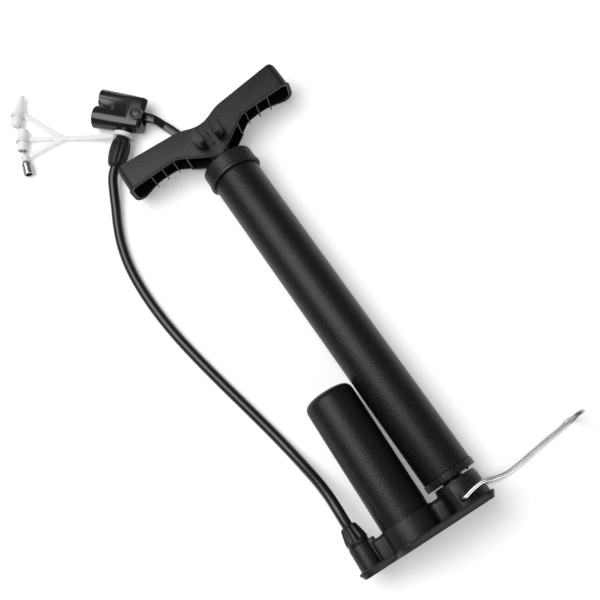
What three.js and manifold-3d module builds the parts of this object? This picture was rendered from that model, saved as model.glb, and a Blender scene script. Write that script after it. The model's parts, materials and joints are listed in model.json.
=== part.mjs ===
// Mini floor pump with a T-handle, an air tank, a folding foot wire, a hose and a twin valve head.
// Millimetres, +Z up. The pump lies on its back on a flat surface: -X runs from the base to the
// handle, +Y points to the foot wire, and the hose and its head lie on the -Y side.
import * as THREE from 'three';
import { mergeVertices } from 'three/addons/utils/BufferGeometryUtils.js';
import Module from 'manifold-3d';

const wasm = await Module();
wasm.setup();

// Driving dimensions. The pump is drawn standing: x to the foot wire, y to the back, z up the tank.
const gap = 0.3;                 // between pieces that touch
const tubeRadius = 17.5;         // barrel and tank have the same outside
const tubeBore = 15.3;           // barrel bore, radius
const barrelLean = 1.9 * Math.PI / 180;   // the barrel leans over towards the tank
const barrelTop = 290;           // along the barrel's own axis, from the sole
const tankX = -39.5;
const tankTop = 114.3;
const bossX = -73.3;             // hose boss
const flangeHeight = 4.5;
const flangeHalfDepth = 22.5;
const socketTop = 18.5;          // tank socket rim
const barrelSocketTop = 22.2;
const capRimRadius = 20;
const capRimTop = 282;
const capTop = 292.5;
const handleHalfLength = 68.2;
const handleDepth = 23.4;
const handleWall = 2;
const rodRadius = 4;
const wireRadius = 1.6;
const wireLegY = 20.8;           // each leg of the foot wire beside the base
const wirePivot = new THREE.Vector3(-2.6, 0, 9.5);
const hoseDiameter = 7.3;
const headHeight = 8.8;          // axis of the valve head above the surface
const headCentre = new THREE.Vector3(-378.8, -54.9, headHeight);
const headTurn = -135 * Math.PI / 180;    // the head's own +x is its open end
const neckX = -7.2;              // hose neck, in the head's frame
const leverPin = new THREE.Vector2(-15, 1.5);
const prestaY = -8.3;
const prestaRadius = 7.2;
const schraderY = 6.8;
const schraderRadius = 8.6;
const clipReach = 14;            // the hose clip's prongs stand out this far

// Hose route on the surface, from the base nut to the head nut: X, Y and height of its centre.
const hoseRoute = [
  [-34.5, -73.3, 22.2], [-38.5, -73.3, 22.2], [-46, -73.3, 21.6],
  [-56, -73.6, 19.2], [-68, -75, 15], [-80, -77.3, 10.3],
  [-92, -79.8, 6.6], [-104, -82.4, 4.5], [-118, -85.6, 3.85], [-140, -90.9, 3.8], [-162, -96.3, 3.8],
  [-185, -101.6, 3.8], [-208, -106.2, 3.8], [-230, -109.2, 3.8], [-251, -110.5, 3.8],
  [-272, -109.8, 3.8], [-290, -106.5, 3.8], [-305, -101.4, 4.1], [-318, -95.4, 5.2],
  [-328, -90.6, 7.1], [-335.5, -86.7, 8.4], [-340.1, -83.3, headHeight], [-343, -80.4, headHeight],
];

// Finishes, one per kind of material.
const finishes = {
  blackPlastic: { color: 0x161616, roughness: 0.55, metalness: 0 },
  headPlastic: { color: 0x1b1b1c, roughness: 0.38, metalness: 0 },
  blackPaint: { color: 0x121212, roughness: 0.42, metalness: 0 },
  hoseRubber: { color: 0x141414, roughness: 0.5, metalness: 0 },
  sealRubber: { color: 0x1c1c1c, roughness: 0.8, metalness: 0 },
  chrome: { color: 0xd8d8d8, roughness: 0.12, metalness: 1 },
  steel: { color: 0xa9a9a9, roughness: 0.3, metalness: 1 },
  brass: { color: 0xb99b52, roughness: 0.35, metalness: 1 },
  nickel: { color: 0xbfbcb4, roughness: 0.22, metalness: 1 },
  silicone: { color: 0xf3f3f0, roughness: 0.45, metalness: 0 },
  whitePlastic: { color: 0xdcdcd8, roughness: 0.5, metalness: 0 },
};

// A closed geometry as a solid for joining and cutting. Triangles with no area are dropped.
function solid(geometry) {
  geometry.deleteAttribute('normal');
  geometry.deleteAttribute('uv');
  const merged = mergeVertices(geometry, 1e-3);
  const corners = merged.index.array;
  const kept = [];
  for (let i = 0; i < corners.length; i += 3) {
    const [a, b, c] = [corners[i], corners[i + 1], corners[i + 2]];
    if (a !== b && b !== c && c !== a) kept.push(a, b, c);
  }
  return new wasm.Manifold(new wasm.Mesh({
    numProp: 3,
    vertProperties: new Float32Array(merged.attributes.position.array),
    triVerts: new Uint32Array(kept),
  }));
}

// Profile is a closed outline of [radius, height] pairs, anticlockwise, turned about Z.
function turned(profile, segments = 24) {
  const outline = profile.map(([r, h]) => new THREE.Vector2(r, h));
  if (profile[0][0] > 0) outline.push(outline[0].clone());
  return new THREE.LatheGeometry(outline, segments).rotateX(Math.PI / 2);
}

function ring(inner, outer, bottom, top, segments) {
  return turned([[inner, bottom], [outer, bottom], [outer, top], [inner, top]], segments);
}

function disc(radius, bottom, top, segments) {
  return turned([[0, bottom], [radius, bottom], [radius, top], [0, top]], segments);
}

function box(x0, x1, y0, y1, z0, z1) {
  const geometry = new THREE.BoxGeometry(x1 - x0, y1 - y0, z1 - z0);
  return geometry.translate((x0 + x1) / 2, (y0 + y1) / 2, (z0 + z1) / 2);
}

// Outline in x and y, pulled up from bottom to top along Z.
function plate(shape, bottom, top, curveSegments = 6) {
  const depth = top - bottom;
  const geometry = new THREE.ExtrudeGeometry(shape, { depth, bevelEnabled: false, curveSegments });
  return geometry.translate(0, 0, bottom);
}

// Outline in x and z, from front to back along Y.
function slab(shape, front, back, curveSegments = 6) {
  return plate(shape, -back, -front, curveSegments).rotateX(Math.PI / 2);
}

// Geometry drawn along Z, laid along X or Y.
const alongX = (geometry) => geometry.rotateY(Math.PI / 2);
const alongY = (geometry) => geometry.rotateX(-Math.PI / 2);

function circle(radius) {
  return new THREE.Shape().absarc(0, 0, radius, 0, Math.PI * 2, false);
}

function sweep(shape, path, steps, curveSegments) {
  return new THREE.ExtrudeGeometry(shape, { extrudePath: path, steps, curveSegments });
}

function joined(...geometries) {
  return geometries.map(solid).reduce((whole, next) => whole.add(next));
}

function asGeometry(body) {
  const mesh = body.getMesh();
  const geometry = new THREE.BufferGeometry();
  geometry.setAttribute('position', new THREE.BufferAttribute(mesh.vertProperties, 3));
  geometry.setIndex(new THREE.BufferAttribute(mesh.triVerts, 1));
  geometry.computeVertexNormals();
  return geometry;
}

// A named piece from a geometry, or from a solid.
function piece(name, finish, shape) {
  const body = shape.isBufferGeometry ? solid(shape) : shape;
  const mesh = new THREE.Mesh(asGeometry(body), new THREE.MeshStandardMaterial(finishes[finish]));
  mesh.name = name;
  return mesh;
}

// Base: a flange with the hose boss, the tank socket, the barrel socket and two wire pads on it.
function makeBase() {
  const narrow = 10.2;           // half depth of the flange around the hose boss
  const flange = new THREE.Shape();
  flange.moveTo(bossX, -narrow);
  flange.lineTo(-58, -narrow);
  flange.quadraticCurveTo(-53, -flangeHalfDepth, -44, -flangeHalfDepth);
  flange.lineTo(9, -flangeHalfDepth);
  flange.quadraticCurveTo(17, -flangeHalfDepth, 17, -13);
  flange.lineTo(17, 13);
  flange.quadraticCurveTo(17, flangeHalfDepth, 9, flangeHalfDepth);
  flange.lineTo(-44, flangeHalfDepth);
  flange.quadraticCurveTo(-53, flangeHalfDepth, -58, narrow);
  flange.lineTo(bossX, narrow);
  flange.absarc(bossX, 0, narrow, Math.PI / 2, Math.PI * 1.5, false);
  const passageHeight = 6.2;
  const ledge = 8.1;             // the tank gasket sits on it
  const hollows = joined(
    disc(tubeRadius + gap, ledge, 30, 48).translate(tankX, 0, 0),
    disc(14.5, 4, ledge + 1, 32).translate(tankX, 0, 0),
    disc(8, 13.5, 30, 24).translate(-0.6, 0, 0),
    disc(4.2, 4.6, 14, 20),
    disc(2.6, 5, 30, 16).translate(bossX, 0, 0),
    alongX(disc(1.6, bossX, 0, 12)).translate(0, 0, passageHeight),
    alongY(disc(2, 13.5, 30, 12)).translate(wirePivot.x, 0, wirePivot.z),
    alongY(disc(2, -30, -13.5, 12)).translate(wirePivot.x, 0, wirePivot.z),
  );
  return joined(
    plate(flange, 0, flangeHeight, 8),
    disc(7.8, 0, 20.8, 24).translate(bossX, 0, 0),
    box(bossX, -62.8, -4.5, 4.5, 2, 20.9),
    disc(4.6, 2, socketTop - gap, 20).translate(-61.8, -5.2, 0),
    disc(4.6, 2, socketTop - gap, 20).translate(-61.8, 5.2, 0),
    box(-66, -55, -5.2, 5.2, 2, socketTop - gap),
    disc(19.4, 0, socketTop, 48).translate(tankX, 0, 0),
    disc(5.2, 2, 18.1, 20).translate(-17.2, -11.4, 0),
    disc(5.2, 2, 18.1, 20).translate(-17.2, 11.4, 0),
    box(-22, -12.4, -11.4, 11.4, 2, 18.1),
    disc(15.8, 0, barrelSocketTop, 40),
    box(-6.3, 1.4, -18.2, 18.2, 2, 20.6),
  ).subtract(hollows);
}

// Folding U-shaped wire: two legs with inward feet, an elbow, and a cross bar.
function makeFootWire() {
  const footEnd = 14.2;          // how far in each foot reaches
  const elbow = 2.4;
  const cornerRadius = 7;
  const leg = [
    [4.2, 10.6], [11.4, 11.5], [14.5, 11.2], [20, 9.5], [26.9, 8], [32.4, 7.7],
    [42, 8.4], [55.6, 10.1], [69.4, 11.8], [80, 13],
  ];
  const barX = 89.8;
  const barZ = 14.1;
  const half = [new THREE.Vector3(wirePivot.x, -footEnd, wirePivot.z)];
  for (let i = 0; i <= 3; i += 1) {
    const angle = i / 3 * Math.PI / 2;
    half.push(new THREE.Vector3(
      wirePivot.x + elbow * (1 - Math.cos(angle)), -wireLegY + elbow * (1 - Math.sin(angle)), wirePivot.z,
    ));
  }
  leg.forEach(([x, z]) => half.push(new THREE.Vector3(x, -wireLegY, z)));
  for (let i = 1; i <= 3; i += 1) {
    const angle = i / 3 * Math.PI / 2;
    half.push(new THREE.Vector3(
      barX - cornerRadius * (1 - Math.sin(angle)), -wireLegY + cornerRadius * (1 - Math.cos(angle)), barZ,
    ));
  }
  const other = half.map((point) => new THREE.Vector3(point.x, -point.y, point.z)).reverse();
  const path = new THREE.CatmullRomCurve3([...half, ...other], false, 'centripetal');
  return sweep(circle(wireRadius), path, 66, 3);
}

// Knurled cup that closes the barrel and screws into the base by its neck.
function makeCollar() {
  const outer = 18.1;
  const bottom = 23.8;
  const top = 28.6;
  const profile = [
    [3.5, 14.5], [5.5, 14.5], [5.5, 17.2], [7.3, 17.2], [7.3, bottom], [outer, bottom],
    [outer, top], [16.9, top], [16.9, 25.2], [3.5, 25.2],
  ];
  const grooves = 40;
  const tab = [-75, 5];          // degrees left smooth as a locking tab
  const cuts = [];
  for (let i = 0; i < grooves; i += 1) {
    const degrees = i * 360 / grooves - 180;
    if (degrees > tab[0] && degrees < tab[1]) continue;
    cuts.push(box(outer - 0.5, outer + 1, -0.45, 0.45, bottom - 1, top + 1).rotateZ(degrees * Math.PI / 180));
  }
  const lug = box(11.2, 12.8, -2, 2, bottom - 1.1, bottom + 0.5);
  return joined(turned(profile, 40), lug).subtract(joined(...cuts));
}

function makeCap() {
  return turned([
    [tubeRadius + gap, 279.6], [capRimRadius, 279.6], [capRimRadius, capRimTop], [19.4, 282.6],
    [19.4, 291.2], [18.4, capTop], [5.4, capTop], [5.4, barrelTop + gap], [tubeRadius + gap, barrelTop + gap],
  ], 48);
}

// Top line of the handle from one end to the other, drop mm below the outer surface.
function handleTopLine(shape, endX, drop) {
  const valley = 323.8 - drop;
  const shoulder = 329 - drop;
  shape.lineTo(20, shoulder);
  shape.bezierCurveTo(12, shoulder - 0.6, 8, valley, 0, valley);
  shape.bezierCurveTo(-8, valley, -12, shoulder - 0.6, -20, shoulder);
  shape.lineTo(-endX, 332.6 - drop);
}

function roundedBox(halfLength, halfDepth, corner) {
  const shape = new THREE.Shape();
  shape.absarc(halfLength - corner, halfDepth - corner, corner, 0, Math.PI / 2, false);
  shape.absarc(corner - halfLength, halfDepth - corner, corner, Math.PI / 2, Math.PI, false);
  shape.absarc(corner - halfLength, corner - halfDepth, corner, Math.PI, Math.PI * 1.5, false);
  shape.absarc(halfLength - corner, corner - halfDepth, corner, Math.PI * 1.5, Math.PI * 2, false);
  return shape;
}

// T-handle: a channel that is open towards the barrel, with ribs, a rod boss and a hose clip.
function makeHandleShell() {
  const half = handleHalfLength;
  const front = -handleDepth / 2;
  const inner = front + handleWall;
  const outline = new THREE.Shape();
  outline.moveTo(0, 294.7);
  outline.lineTo(1.6, 295.4);
  outline.lineTo(20, 307.1);
  outline.bezierCurveTo(25, 310.3, 27, 312.5, 32, 312.5);
  outline.lineTo(half - 1.5, 312.5);
  outline.lineTo(half, 314);
  outline.lineTo(half, 328.4);
  outline.quadraticCurveTo(half, 332.9, 63.5, 332.6);
  handleTopLine(outline, 63.5, 0);
  outline.quadraticCurveTo(-half, 332.9, -half, 328.4);
  outline.lineTo(-half, 314);
  outline.lineTo(-half + 1.5, 312.5);
  outline.lineTo(-32, 312.5);
  outline.bezierCurveTo(-27, 312.5, -25, 310.3, -20, 307.1);
  outline.lineTo(-1.6, 295.4);
  outline.closePath();
  const hollow = new THREE.Shape();
  hollow.moveTo(-half + handleWall, 290);
  hollow.lineTo(half - handleWall, 290);
  hollow.lineTo(half - handleWall, 330);
  hollow.lineTo(63, 330);
  handleTopLine(hollow, 63, 2.6);
  hollow.lineTo(-half + handleWall, 330);
  hollow.closePath();
  const plan = (halfLength, halfDepth, corner) =>
    solid(plate(roundedBox(halfLength, halfDepth, corner), 280, 340, 5));
  let shell = solid(slab(outline, front, -front)).intersect(plan(half, -front, 6)).subtract(
    solid(slab(hollow, inner, -inner)).intersect(plan(half - handleWall, -inner, 4.2)),
  );
  const ribPlaces = [22, 31.2, 40.6, 50];
  for (const side of [-1, 1]) {
    for (const place of ribPlaces) {
      const bottom = place < 25 ? 308.6 : 311.9;
      const rib = box(side * place - 0.5, side * place + 0.5, inner - 0.5, -inner + 0.5, bottom, 328.5);
      shell = shell.add(solid(rib));
    }
    const lobe = new THREE.Shape();
    const lobeRadius = 5.9;
    const flat = 4.4;            // inner face of each prong
    const cut = Math.acos((flat - lobeRadius) / lobeRadius);
    lobe.absarc(lobeRadius, 310.4, lobeRadius, -cut, cut, false);
    const prong = slab(lobe, front - clipReach, front + 1, 10);
    if (side < 0) prong.rotateZ(Math.PI).translate(0, 2 * front + 1 - clipReach, 0);
    shell = shell.add(solid(prong));
  }
  const boss = joined(disc(7.2, 296, 322, 24), box(-0.6, 0.6, front - 2, front + 1, 305, 316));
  const bores = joined(
    disc(rodRadius + gap, 290, 313.9, 20),
    disc(2.3, 313, 322, 16),
    disc(4.3, 320.6, 330, 20),
  );
  return shell.add(boss).subtract(bores);
}

// Everything that sits on the barrel's leaning axis.
function makeBarrelGroup() {
  const group = new THREE.Group();
  const rodStep = 45.3;          // shoulder above the piston
  group.add(
    piece('barrel_tube', 'blackPaint', turned([
      [tubeBore, 25.5], [16.6, 25.5], [16.6, 28.9],
      [tubeRadius, 28.9], [tubeRadius, barrelTop], [tubeBore, barrelTop],
    ], 48)),
    piece('barrel_collar', 'blackPlastic', makeCollar()),
    piece('barrel_o_ring', 'sealRubber', ring(5.8, 7.5, 14.7, 16.9, 24)),
    piece('barrel_cap', 'blackPlastic', makeCap()),
    piece('rod_bush', 'whitePlastic', turned([
      [rodRadius + gap, 284.5], [14.9, 284.5], [14.9, barrelTop], [5.1, barrelTop],
      [5.1, 292.4], [rodRadius + gap, 292.4],
    ], 24)),
    piece('piston_rod', 'steel', turned([
      [0, 26.2], [3, 26.2], [3, rodStep], [rodRadius, rodStep],
      [rodRadius, 313.6], [2.3, 313.6], [2.3, 300], [0, 300],
    ], 20)),
    piece('piston_head', 'whitePlastic', ring(3.3, 14.8, 33.6, 45, 32)),
    piece('piston_cup', 'sealRubber', turned([
      [3.3, 30.6], [12.6, 30.6], [14.2, 28.8], [15, 28.8], [15, 33.3], [3.3, 33.3],
    ], 32)),
    piece('piston_washer', 'steel', ring(3.3, 10, 29.2, 30.3, 24)),
    piece('piston_nut', 'steel', solid(disc(5.6, 26.4, 28.9, 6)).subtract(solid(disc(3.3, 25, 30, 16)))),
    piece('rod_bumper', 'sealRubber', ring(rodRadius + gap, 9, 292.9, 294.4, 24)),
    piece('handle_shell', 'blackPlastic', makeHandleShell()),
    piece('handle_screw', 'steel', turned([
      [0, 302], [1.9, 302], [1.9, 321], [4, 321], [4, 323.6], [0, 323.6],
    ], 16)),
  );
  group.rotation.y = -barrelLean;
  return group;
}

function makePump() {
  const group = new THREE.Group();
  const shell = 1.6;             // tank wall
  const gasketTop = 10.2;
  group.add(
    piece('base', 'blackPlastic', makeBase()),
    piece('tank_shell', 'blackPaint', turned([
      [tubeRadius - shell, gasketTop + gap], [tubeRadius, gasketTop + gap], [tubeRadius, tankTop - 6.5],
      [16.6, tankTop - 3], [14, tankTop - 0.9], [9, tankTop - 0.2], [0, tankTop],
      [0, tankTop - shell], [12.5, tankTop - 2.6], [tubeRadius - shell, tankTop - 7],
    ], 48)).translateX(tankX),
    piece('tank_gasket', 'sealRubber', ring(14.9, 17.4, 8.4, gasketTop, 32)).translateX(tankX),
    piece('check_valve_seat', 'brass', turned([
      [1.4, 11.6], [2.6, 11.6], [2.6, 8], [3.9, 8], [3.9, 13.2], [1.4, 13.2],
    ], 16)),
    piece('check_valve_poppet', 'sealRubber', disc(2.2, 9.6, 11.3, 12)),
    piece('base_hose_barb', 'brass', ring(1.1, 2.3, 8.5, 33.6, 12)).translateX(bossX),
    piece('base_hose_nut', 'blackPlastic', turned([
      [2.7, 21.4], [6.7, 21.4], [6.8, 22.4], [7.8, 23.2], [7.1, 27.5], [5.9, 32.2], [4.8, 34], [2.7, 34],
    ], 24)).translateX(bossX),
    piece('foot_wire', 'chrome', makeFootWire()),
    makeBarrelGroup(),
  );
  return group;
}

// Head body: two round barrels side by side, and a fork with a slot that carries the lever.
function makeHeadBody() {
  const prestaEnd = 17.6;
  const schraderEnd = 18.6;
  const hollows = joined(
    alongX(disc(4.9, 1.2, 22, 20)).translate(0, prestaY, 0),
    alongX(disc(6.6, 1.2, 22, 24)).translate(0, schraderY, 0),
    box(-8.6, 4, -9.2, 8.8, -3.4, 3.4),
    box(-24, -8.5, -17, 7, -3.5, 3.5),
    box(-24, -8.5, -17, -4.2, -9, 0),   // the lever's step swings through here
    disc(1.9, -12, 12, 16).translate(leverPin.x, leverPin.y, 0),
    alongY(disc(4.8, 6.2, 20, 20)).translate(neckX, 0, 0),
  );
  return joined(
    alongX(disc(prestaRadius, -16, prestaEnd, 32)).translate(0, prestaY, 0),
    alongX(disc(schraderRadius, -14, schraderEnd, 40)).translate(0, schraderY, 0),
    box(-14, 15.5, prestaY, schraderY, -6.4, 6.4),
    box(-20, -5, -11.8, 11.8, -7.6, 7.6),
    disc(5.2, 7, 8.4, 24).translate(leverPin.x, leverPin.y, 0),
  ).subtract(hollows);
}

// Thumb lever: a round cam on the pin and a slightly bowed arm, whose outer half steps down so that it
// lies lower than the handle.
function makeLever() {
  const arm = new THREE.Shape();
  const half = 2.7;              // half thickness
  arm.moveTo(-13, 5.2);
  arm.bezierCurveTo(-22, 3, -33, 4.6, -45, 11.4);
  arm.lineTo(-49.6, 13.6);
  arm.quadraticCurveTo(-53.4, 13, -52.2, 8.6);
  arm.lineTo(-47.5, 5.6);
  arm.bezierCurveTo(-36, -0.2, -26, -2.6, -15, -2.6);
  const cam = disc(4.6, -half, half, 20).translate(leverPin.x, leverPin.y, 0);
  const outline = joined(plate(arm, -half, half, 12), cam);
  const step = { start: -26.8, length: 9, drop: 4.9 };
  const lever = outline.subtract(solid(disc(1.9, -12, 12, 16).translate(leverPin.x, leverPin.y, 0)));
  return lever.refineToLength(2.5).warp((point) => {
    const share = Math.min(Math.max((step.start - point[0]) / step.length, 0), 1);
    point[2] -= step.drop * share * share * (3 - 2 * share);
  });
}

// Plunger: a stem behind a bridge that carries one disc for each seal.
function makePlunger() {
  return joined(
    box(-8, 0, -1, 4, -2.5, 2.5),
    box(-1, 3.7, -8.4, 6.2, -3, 3),
    alongX(disc(4.5, 3.4, 8, 20)).translate(0, prestaY, 0),
    alongX(disc(6.1, 3.4, 8, 20)).translate(0, schraderY, 0),
  );
}

function makeHeadGroup() {
  const group = new THREE.Group();
  const nut = [
    [2.9, 20], [4.9, 20], [5.2, 21.8], [6.4, 22.4], [7.2, 26],
    [7.6, 31], [7.2, 36], [6.2, 40.6], [5, 43], [2.9, 43],
  ];
  group.add(
    piece('head_body', 'headPlastic', makeHeadBody()),
    piece('presta_collar', 'headPlastic', alongX(ring(3.1, 4.6, 15.3, 17.9, 24)).translate(0, prestaY, 0)),
    piece(
      'schrader_collar', 'headPlastic',
      alongX(ring(4.2, 6.3, 15.3, 18.9, 24)).translate(0, schraderY, 0),
    ),
    piece('presta_seal', 'sealRubber', alongX(ring(2.8, 4.6, 8.6, 15, 16)).translate(0, prestaY, 0)),
    piece('schrader_seal', 'sealRubber', alongX(ring(3.9, 6.3, 8.6, 15, 20)).translate(0, schraderY, 0)),
    piece('head_plunger', 'whitePlastic', makePlunger()),
    piece('lever_pin', 'steel', disc(1.6, -7.6, 8.6, 12).translate(leverPin.x, leverPin.y, 0)),
    piece('head_lever', 'headPlastic', makeLever()),
    piece('head_neck', 'brass', alongY(turned([
      [1.2, 6.5], [4.5, 6.5], [4.5, 19.7], [2.5, 19.7], [2.5, 42.9], [1.2, 42.9],
    ], 20)).translate(neckX, 0, 0)),
    piece('head_hose_nut', 'blackPlastic', alongY(turned(nut, 24)).translate(neckX, 0, 0)),
  );
  group.position.copy(headCentre);
  group.rotation.z = headTurn;
  return group;
}

// Turns a geometry drawn along +Z so that it runs from start towards end.
function aimed(geometry, start, end) {
  const turn = new THREE.Quaternion().setFromUnitVectors(
    new THREE.Vector3(0, 0, 1), end.clone().sub(start).normalize(),
  );
  return geometry.applyQuaternion(turn).translate(start.x, start.y, start.z);
}

// Flat bar between two points, lying on its wide side.
function bar(start, end, width, thickness) {
  const along = end.clone().sub(start);
  const length = along.length();
  const geometry = new THREE.BoxGeometry(length, width, thickness);
  geometry.rotateY(-Math.asin(along.z / length));
  geometry.rotateZ(Math.atan2(along.y, along.x));
  const middle = start.clone().add(end).multiplyScalar(0.5);
  return geometry.translate(middle.x, middle.y, middle.z);
}

// Soft strap with a neck ring and three arms, and the fittings that its end rings hold.
function makeAccessories() {
  const group = new THREE.Group();
  const at = (x, y, z) => new THREE.Vector3(x, y, z);
  const cone = { start: at(-418.9, -129.1, 4.9), end: at(-438.6, -112.4, 4.9) };
  const tube = { start: at(-398.8, -133.9, 4.1), end: at(-414, -125.3, 4.1) };
  const needle = { start: at(-379.2, -138.8, 4.1), end: at(-396.6, -133.6, 4.1) };
  const towards = (line, distance) => line.end.clone().sub(line.start).normalize()
    .multiplyScalar(distance).add(line.start);
  const ringAt = (line, from, to, inner, outer) =>
    aimed(ring(inner, outer, from, to, 20), line.start, line.end);
  const hub = at(-389.7, -103, 4);
  const neckRing = alongY(ring(4.9, 8, 16.4, 19.7, 24)).translate(neckX, 0, 0)
    .rotateZ(headTurn).translate(headCentre.x, headCentre.y, headCentre.z);
  const strapStart = at(-365.9, -68.5, 8.2);
  const strapKnee = at(-375.4, -82.4, 5);
  const thickness = 1.6;
  const arms = joined(
    bar(strapStart, strapKnee, 3.7, thickness),
    disc(1.85, 4.2, 5.8, 12).translate(strapKnee.x, strapKnee.y, 0),
    bar(strapKnee, hub, 3.7, thickness),
    disc(4.2, 3.2, 4.8, 16).translate(hub.x, hub.y, 0),
    bar(hub, towards(cone, 9).add(at(1.6, 4, 0)), 4, thickness),
    bar(hub, towards(tube, 8.2).add(at(1.2, 4, 0)), 3.2, thickness),
    bar(hub, towards(needle, 13.2).add(at(-0.4, 2.6, 0)), 3.4, thickness),
  );
  const room = joined(
    aimed(disc(4.9, -3, 28, 20), cone.start, cone.end),
    aimed(disc(4.6, -3, 20, 20), tube.start, tube.end),
    aimed(disc(1.6, 10, 20, 20), needle.start, needle.end),
    aimed(disc(4.3, -3, 10.5, 20), needle.start, needle.end),
  );
  const rings = joined(
    neckRing,
    ringAt(cone, 7.6, 10.4, 4.5, 5.6),
    ringAt(tube, 6.8, 9.6, 4.4, 5.3),
    ringAt(needle, 10.6, 15.8, 1.5, 3.4),
  );
  // The end rings are trimmed level with the surface.
  const trimmed = arms.subtract(room).add(rings).subtract(solid(box(-460, -340, -160, -40, -8, gap)));
  const coneBody = aimed(turned([
    [1.1, 0], [3.2, 0], [4.2, 0.8], [4.75, 3.2], [4.7, 5.6],
    [4.2, 7.2], [4.1, 10.8], [3.7, 13], [1.9, 25], [1.1, 25.8],
  ], 20), cone.start, cone.end);
  const tubeBody = aimed(ring(3.1, 4.05, 0, 17.2, 20), tube.start, tube.end);
  const needleBody = joined(
    aimed(ring(2.6, 3.85, 0, 8, 20), needle.start, needle.end),
    aimed(disc(3.85, 7, 10.2, 20), needle.start, needle.end),
    aimed(disc(1, 9, 32, 10), needle.start, needle.end),
  );
  group.add(
    piece('accessory_strap', 'silicone', trimmed),
    piece('cone_nozzle', 'whitePlastic', coneBody),
    piece('straight_nozzle', 'whitePlastic', tubeBody),
    piece('ball_needle', 'nickel', needleBody),
  );
  return group;
}

function makeHose() {
  const stops = hoseRoute.map((point) => new THREE.Vector3(...point));
  const route = new THREE.CatmullRomCurve3(stops, false, 'centripetal');
  return piece('hose', 'hoseRubber', sweep(circle(hoseDiameter / 2), route, 24, 5));
}

// The pump is turned onto its back and tipped until its flange and cap rim both touch the surface.
function layDown(pump) {
  const lying = new THREE.Group();
  const towardsWire = new THREE.Vector3(0, 1, 0);
  const down = new THREE.Vector3(0, 0, -1);
  const towardsHandle = new THREE.Vector3(-1, 0, 0);
  pump.quaternion.setFromRotationMatrix(new THREE.Matrix4().makeBasis(towardsWire, down, towardsHandle));
  lying.add(pump);
  lying.rotation.y = -Math.atan2(flangeHalfDepth - capRimRadius, capRimTop - flangeHeight);
  lying.position.z = -new THREE.Box3().setFromObject(lying, true).min.z;
  return lying;
}

// Origin: under the middle of the pump without its hose and what hangs on the hose.
const lyingPump = layDown(makePump());
const whole = new THREE.Group();
whole.add(lyingPump, makeHose(), makeHeadGroup(), makeAccessories());
const footprint = new THREE.Box3().setFromObject(lyingPump, true);
whole.position.set(-(footprint.min.x + footprint.max.x) / 2, -(footprint.min.y + footprint.max.y) / 2, 0);

export default whole;
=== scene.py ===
import json
import math
import bpy
import bmesh
from mathutils import Matrix, Vector


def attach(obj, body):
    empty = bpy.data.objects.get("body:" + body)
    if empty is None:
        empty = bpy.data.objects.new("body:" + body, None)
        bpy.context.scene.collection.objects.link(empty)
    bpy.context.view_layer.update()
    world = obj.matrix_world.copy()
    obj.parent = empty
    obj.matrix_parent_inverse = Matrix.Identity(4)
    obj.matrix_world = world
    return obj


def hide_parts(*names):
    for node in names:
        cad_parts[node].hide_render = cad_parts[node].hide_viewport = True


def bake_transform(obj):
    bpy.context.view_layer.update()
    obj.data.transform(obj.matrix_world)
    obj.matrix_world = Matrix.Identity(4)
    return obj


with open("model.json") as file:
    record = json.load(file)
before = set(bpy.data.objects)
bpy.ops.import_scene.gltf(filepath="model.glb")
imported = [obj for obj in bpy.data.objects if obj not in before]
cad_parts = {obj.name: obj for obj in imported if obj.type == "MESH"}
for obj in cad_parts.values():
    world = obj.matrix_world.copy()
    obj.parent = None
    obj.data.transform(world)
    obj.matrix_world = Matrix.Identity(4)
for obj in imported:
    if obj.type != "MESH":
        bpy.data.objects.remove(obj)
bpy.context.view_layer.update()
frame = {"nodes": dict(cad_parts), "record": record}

record = frame["record"]
bodyOf = {node: body for body, nodes in record["behaviour"]["bodies"].items() for node in nodes}
slotOf = {part["node"]: part["material_slot"] for part in record["subparts"]}

# Places. The pump is drawn standing, in millimetres: x to the foot wire, y to its back, z up the tank.
pump = {
    "place": (0.16721, -0.00411, 0.02254),   # middle of the barrel at the sole
    "tilt": math.atan2(22.5 - 20, 282 - 4.5), # it lies on the flange and on the cap's rim
    "lean": math.radians(1.9),                # barrel towards the tank
    "tankX": -39.5,
    "bossX": -73.3,
}
head = {"place": (-0.21159, -0.05901, 0.0088), "turn": math.radians(-135)}
looseShift = Vector((0.16721, -0.00411, 0))  # from the route's own origin to the frame's

millimetres = Matrix.Scale(0.001, 4)
onItsBack = Matrix(((0, 0, -1, 0), (1, 0, 0, 0), (0, -1, 0, 0), (0, 0, 0, 1)))
standing = (Matrix.Translation(pump["place"]) @ Matrix.Rotation(-pump["tilt"], 4, "Y")
            @ onItsBack @ millimetres)
leaning = standing @ Matrix.Rotation(-pump["lean"], 4, "Y")
headFrame = Matrix.Translation(head["place"]) @ Matrix.Rotation(head["turn"], 4, "Z") @ millimetres
lying = Matrix.Translation(looseShift) @ millimetres


def alongStanding(x, y, z):
    return standing @ Matrix.Translation((x, y, z))


camera = {"focal": 55.58, "from": (-26.68, -610.6, 10.9), "yaw": 0.672, "pitch": 15.274, "roll": -33.168}


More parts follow.
